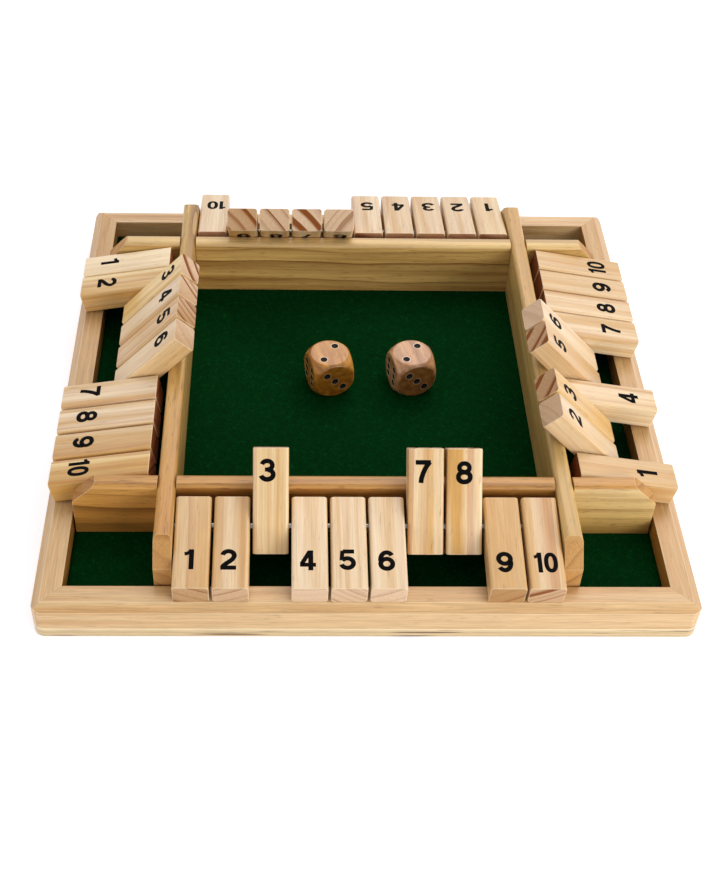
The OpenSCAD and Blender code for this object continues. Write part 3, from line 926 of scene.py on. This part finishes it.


# How each board was sawn and printed. angle is the rings' direction in degrees across the end; distance,
# in mm, and scale place and size the rings; figure is how strongly they show, and endFigure the same for
# the end grain. tone darkens the board, toneAcross changes that over its width, the yellow tint paints warm
# light bounced into its shade and the tail shade value paints shade on its tail end. print is how far the
# numeral is off its place, across and along, in mm.
boards = {
    "front01": {"angle": 118, "figure": 0.9, "tone": 0.8, "print": (0.2, -0.4)},
    "front02": {"angle": 62, "figure": 0.9, "tone": 0.5, "print": (-0.2, -0.4)},
    "front03": {"figure": 0.5, "tone": 0.35, "cast": 0.25, "print": (-0.6, 0.8)},
    "front04": {"angle": 88, "figure": 0.3, "tone": 0.1, "print": (0.0, 0.0)},
    "front05": {"angle": 130, "figure": 0.8, "scale": 1.4, "tone": 0.2, "print": (-0.1, -0.4)},
    "front06": {"angle": 60, "figure": 0.5, "tone": 0.1, "print": (-0.2, 0.0)},
    "front07": {"angle": 15, "figure": 1.8, "scale": 0.7, "tone": 0.2, "cast": 0.1, "print": (-0.4, 0.4)},
    "front08": {"angle": 200, "figure": 3.0, "scale": 0.45, "distance": 44, "tone": -0.15, "cast": 0.1,
                "print": (0.7, 0.0)},
    "front09": {"angle": 55, "figure": 0.8, "tone": 1.1, "print": (-0.2, 0.6)},
    "front10": {"angle": 60, "figure": 0.8, "tone": 0.6, "print": (0.8, 0.8)},
    "right01": {"angle": 65, "figure": 0.5, "tone": 0.95, "cast": 0.0},
    "right02": {"angle": 60, "figure": 0.25, "tone": 0.45},
    "right03": {"angle": 130, "figure": 0.7, "endFigure": 5.5, "scale": 0.6, "tone": 0.75, "cast": 0.7},
    "right04": {"tone": 0.15, "cast": 0.1},
    "right05": {"angle": 132, "figure": 0.9, "endFigure": 6.0, "scale": 0.65, "tone": 0.7},
    "right06": {"angle": 55, "figure": 0.15, "tone": 0.2},
    "right07": {"tone": 0.1},
    "right08": {"angle": 60, "figure": 0.7, "tone": 0.35},
    "right09": {"angle": 75, "figure": 0.6, "tone": 0.7},
    "right10": {"tone": 0.6},
    "back01": {"angle": 70, "figure": 0.5, "tone": -0.3, "cast": 0.2},
    "back02": {"angle": 60, "figure": 0.9, "tone": 0.35},
    "back03": {"angle": 80, "figure": 0.9, "tone": 0.25},
    "back04": {"angle": 100, "figure": 0.7, "tone": 0.25},
    "back05": {"angle": 75, "figure": 0.7, "tone": 0.0},
    "back06": {"angle": 40, "figure": 0.7, "endFigure": 0.5, "scale": 1.1, "tone": 0.25},
    "back07": {"angle": 133, "figure": 1.0, "endFigure": 9.0, "scale": 0.67, "distance": 61, "tone": -0.5,
               "stain": 0.0},
    "back08": {"angle": 140, "figure": 1.5, "endFigure": 1.3, "scale": 0.9, "tone": 0.35},
    "back09": {"angle": 138, "figure": 3.0, "endFigure": 3.0, "scale": 0.75, "tone": 0.7},
    "back10": {"figure": 0.3, "tone": -0.25},
    "left01": {"angle": 75, "figure": 0.0, "tone": -1.0},
    "left02": {"angle": 70, "figure": 1.4, "tone": 0.15, "toneAcross": 0.06, "cast": 0.45},
    "left03": {"angle": 60, "figure": 1.2, "endFigure": 3.0, "scale": 0.6, "tone": 0.15, "cast": 0.8},
    "left04": {"angle": 42, "figure": 1.2, "endFigure": 1.6, "tone": 0.4},
    "left05": {"angle": 35, "figure": 1.4, "endFigure": 2.4, "scale": 1.2, "tone": 0.65, "cast": 0.1},
    "left06": {"angle": 50, "figure": 0.4, "tone": 0.4, "cast": 0.2},
    "left07": {"angle": 70, "figure": 0.9, "tone": 0.0, "cast": 0.0},
    "left08": {"angle": 20, "figure": 1.2, "tone": -0.1, "cast": 0.0},
    "left09": {"angle": 80, "figure": 1.4, "tone": 0.85},
    "left10": {"angle": 60, "figure": 1.4, "tone": 0.6, "toneAcross": 0.11, "cast": 0.6},
}

tileTree = makeTileTree()
chance = random.Random(tile["seed"])
sameForAll = {
    "Width": tile["width"] * mm, "Thickness": tile["thickness"] * mm, "Reach": tileReach * mm,
    "Tail": tile["tail"] * mm, "Edge Radius": tile["edgeRadius"] * mm, "End Round": tile["endRound"] * mm,
    "Bore": tile["bore"] * mm, "Stroke": numeral["stroke"] * mm, "Ink Depth": numeral["inkDepth"] * mm,
    "Wood": tilePine, "Ink": ink}
for side, sideName in enumerate(sideNames):
    for number in range(1, tile["count"] + 1):
        shut = tile["rows"][sideName][number - 1] == "s"
        middle = (number - (tile["count"] + 1) / 2) * tilePitch
        board = {
            "angle": chance.choice((1, -1)) * chance.uniform(28, 62) + chance.choice((0, 180)),
            "distance": chance.uniform(40, 90), "scale": chance.uniform(0.75, 1.15),
            "figure": chance.uniform(0.4, 1.2), "tone": chance.uniform(0, 0.8),
            "print": (chance.uniform(-0.4, 0.4), chance.uniform(-0.3, 0.4)),
            "cast": tile["cast"][sideName], "stain": tile["tailStain"][sideName],
            "toneAcross": tile["toneAcross"][sideName]}
        board.update(boards["%s%02d" % (sideName, number)])
        across, along = board["print"]
        piece = growPiece("tile%s%02d" % (sideName.capitalize(), number), tileTree, {
            **sameForAll, "Numeral": numerals[number],
            "Shut Place": mm * Vector((
                numeral["shutShift"] + across, numeral["shutPlace"] + along, halfThick)),
            "Open Place": mm * Vector((
                numeral["openShift"] + across, numeral["openPlace"] + along, -halfThick)),
            "Pith Distance": board["distance"], "Pith Angle": math.radians(board["angle"]),
            "Grain Start": chance.uniform(0, 900), "Ring Scale": board["scale"], "Tone": board["tone"],
            "Tone Across": board["toneAcross"], "Cast": board["cast"], "Tail Stain": board["stain"],
            "Figure": board["figure"], "End Figure": board.get("endFigure", board["figure"]),
            "Tilt": shutTilt if shut else lyingTilt, "Side Turn": side * math.pi / 2,
            "Rod Place": mm * Vector((middle, -rodOut, rodHeight))})
        smoothShading(piece, narrow=0.28)
        node = "tile_%s_%02d" % (sideName, number)
        place(piece, node, node, "tile_pine")
print("tiles made")


die = {
    "width": 21.5, "cornerDepth": 4.1, "edgeRound": 0.5, "cells": 72,
    "pipRadius": 1.8, "pipDepth": 0.6, "pipPitch": 4.3, "restGap": 0.15,
    "places": {"a": (-14.8, 8.9, 16.4), "b": (28, 9.5, 14.3)},  # right, back, turn
    "grainStarts": {"a": (40.0, 12.0, 9.0), "b": (140.0, 12.0, 9.0)},
    # pips on each face and the turn that takes the top to that face
    "faces": [(2, (0, 0, 0)), (5, (180, 0, 0)), (3, (90, 0, 0)), (4, (-90, 0, 0)), (6, (90, 0, -90)),
              (1, (90, 0, 90))],
}


def pipPlaces(count):
    middle, pair, other, sides = [(0, 0)], [(1, 1), (-1, -1)], [(-1, 1), (1, -1)], [(-1, 0), (1, 0)]
    six = pair + other + sides
    return [middle, pair, middle + other, pair + other, middle + pair + other, six][count - 1]


# A die: where a cube meets a ball, with eased edges, and a shallow dish at each pip
def makeDieTree():
    tree, add, given = newTree("turnedDie", {
        "Float": ["Width", "Ball Radius", "Edge Round", "Pip Radius", "Pip Depth", "Turn"], "Int": ["Cells"],
        "Vector": ["Place", "Grain Start"], "Object": ["Pips"], "Material": ["Wood"]})
    cells = given["Cells"]
    cube = add("GeometryNodeMeshCube", [(2, 2, 2), cells, cells, cells])
    position = add("GeometryNodeInputPosition")
    angles = add("ShaderNodeVectorMath", {0: position, "Scale": math.pi / 4}, "SCALE")
    even = add("ShaderNodeVectorMath", [angles], "TANGENT")
    ray = add("ShaderNodeVectorMath", [even], "NORMALIZE")
    size = add("ShaderNodeVectorMath", [ray], "ABSOLUTE")
    axes = add("ShaderNodeSeparateXYZ", [size]).outputs
    endwise = add("ShaderNodeMapRange", [axes["Y"], 0.62, 0.76])
    larger = add("ShaderNodeMath", [axes["X"], axes["Y"]], "MAXIMUM")
    largest = add("ShaderNodeMath", [larger, axes["Z"]], "MAXIMUM")
    half = add("ShaderNodeMath", [given["Width"], 0.5], "MULTIPLY")
    toFace = add("ShaderNodeMath", [half, largest], "DIVIDE")
    reach = add("ShaderNodeMath", [toFace, given["Ball Radius"], given["Edge Round"]], "SMOOTH_MIN")
    skin = add("ShaderNodeVectorMath", {0: ray, "Scale": reach}, "SCALE")
    body = add("GeometryNodeSetPosition", {"Geometry": cube, "Position": skin})

    points = add("GeometryNodeObjectInfo", {"Object": given["Pips"]}).outputs["Geometry"]
    away = add("GeometryNodeProximity", [points], target_element="POINTS").outputs["Distance"]
    inMm = add("ShaderNodeMath", [away, 1000.0], "MULTIPLY")
    marked = add("GeometryNodeStoreNamedAttribute", {"Geometry": body, "Name": "pip", "Value": inMm})
    share = add("ShaderNodeMath", [away, given["Pip Radius"]], "DIVIDE")
    squared = add("ShaderNodeMath", [share, share], "MULTIPLY")
    bowl = add("ShaderNodeMath", [1.0, squared], "SUBTRACT", use_clamp=True)
    sink = add("ShaderNodeMath", [bowl, given["Pip Depth"]], "MULTIPLY")
    inward = add("ShaderNodeMath", [sink, -1.0], "MULTIPLY")
    offset = add("ShaderNodeVectorMath", {0: add("GeometryNodeInputNormal"), "Scale": inward}, "SCALE")
    dished = add("GeometryNodeSetPosition", {"Geometry": marked, "Offset": offset})
    inWood = add("ShaderNodeVectorMath", [position, (1000, 1000, 1000), given["Grain Start"]], "MULTIPLY_ADD")
    grained = add("GeometryNodeStoreNamedAttribute", {"Geometry": dished, "Name": "grain", "Value": inWood},
                  data_type="FLOAT_VECTOR")
    ended = add("GeometryNodeStoreNamedAttribute",
                {"Geometry": grained, "Name": "endGrain", "Value": endwise})
    smooth = add("GeometryNodeSetShadeSmooth", [ended])
    turn = add("ShaderNodeCombineXYZ", {"Z": given["Turn"]})
    thrown = add("GeometryNodeTransform",
                 {"Geometry": smooth, "Translation": given["Place"], "Rotation": turn})
    real = add("GeometryNodeRealizeInstances", [thrown])
    finished = add("GeometryNodeSetMaterial", {"Geometry": real, "Material": given["Wood"]})
    add("NodeGroupOutput", [finished])
    return tree


pipPoints = []
for count, turn in die["faces"]:
    facing = Euler([math.radians(a) for a in turn]).to_matrix()
    for x, y in pipPlaces(count):
        pipPoints.append(facing @ Vector((x * die["pipPitch"], y * die["pipPitch"], die["width"] / 2)) * mm)
pips = linkObject("pips", bpy.data.meshes.new("pips"))
pips.data.from_pydata(pipPoints, [], [])

ballRadius = math.sqrt(3) * die["width"] / 2 - die["cornerDepth"]
dieTree = makeDieTree()
for letter, (right, back, turn) in die["places"].items():
    piece = growPiece("die" + letter.upper(), dieTree, {
        "Width": die["width"] * mm, "Ball Radius": ballRadius * mm, "Edge Round": die["edgeRound"] * mm,
        "Cells": die["cells"], "Pips": pips, "Pip Radius": die["pipRadius"] * mm,
        "Pip Depth": die["pipDepth"] * mm, "Turn": math.radians(turn),
        "Place": mm * Vector((right, back, clothTop + die["restGap"] + die["width"] / 2)),
        "Grain Start": die["grainStarts"][letter], "Wood": diceWoods[letter]})
    place(piece, "die_" + letter, "die_" + letter, "dice_wood")

for helper in list(numerals.values()) + [pips]:
    bpy.data.objects.remove(helper)
print("dice made")


studio = {
    "floorReach": 1.3,  # m, where the lamps' light ends
    "floor": "#f1f2f6", "floorSeen": "#e4eafa", "floorGlow": 0.5,
    "skyLight": 0.5, "skyColour": "#fffaf4", "white": "#ffffff",
    "lamps": {
        "back": {"place": (0.35, 0.85, 1.2), "size": (1.3, 1.0), "power": 11.3, "colour": "#fff0e8"},
        "front": {"place": (0.75, -0.95, 0.45), "size": (0.9, 0.4), "power": 7.8, "colour": "#fff9ec"},
        "lowLeft": {"place": (-1.1, -0.6, 0.12), "size": (1.0, 0.2), "power": 3.4, "colour": "#fffaf4"},
        "lowRight": {"place": (1.1, -0.7, 0.12), "size": (1.0, 0.2), "power": 2.0, "colour": "#fffaf4"},
    },
}


# the lit surface lights the pieces; the seen one is what the camera, a reflection or a clear body sees
def splitBySight(add, lit, seen, output):
    path = add("ShaderNodeLightPath").outputs
    direct = add("ShaderNodeMath", [path["Is Camera Ray"], path["Is Glossy Ray"]], "MAXIMUM")
    isSeen = add("ShaderNodeMath", [direct, path["Is Transmission Ray"]], "MAXIMUM")
    add(output, [add("ShaderNodeMixShader", [isSeen, lit, seen])])


floorMaterial = bpy.data.materials.new("white_studio_floor")
add = startNodes(floorMaterial)
paper = add("ShaderNodeBsdfDiffuse", {"Color": studio["floor"]})
paperSeen = add("ShaderNodeBsdfDiffuse", {"Color": studio["floorSeen"]})
glow = add("ShaderNodeEmission", {"Color": studio["white"], "Strength": studio["floorGlow"]})
splitBySight(add, paper, add("ShaderNodeAddShader", [paperSeen, glow]), "ShaderNodeOutputMaterial")
floor = linkObject("floor", bpy.data.meshes.new("floor"))
reach = studio["floorReach"]
floorCorners = [(-reach, -reach, 0), (reach, -reach, 0), (reach, reach, 0), (-reach, reach, 0)]
floor.data.from_pydata(floorCorners, [], [range(4)])
floor.data.materials.append(floorMaterial)

world = bpy.data.worlds.new("studio")
bpy.context.scene.world = world
add = startNodes(world)
sky = add("ShaderNodeBackground", {"Color": studio["skyColour"], "Strength": studio["skyLight"]})
white = add("ShaderNodeBackground", {"Color": studio["white"], "Strength": 1.0})
splitBySight(add, sky, white, "ShaderNodeOutputWorld")

for name, settings in studio["lamps"].items():
    lamp = bpy.data.lights.new(name, "AREA")
    lamp.shape = "RECTANGLE"
    lamp.size, lamp.size_y = settings["size"]
    lamp.energy = settings["power"]
    lamp.color = toLinear(settings["colour"])[:3]
    light = linkObject(name + "Light", lamp)
    light.location = settings["place"]
    light.rotation_euler = (-Vector(settings["place"])).to_track_quat("-Z", "Y").to_euler()
print("studio set")
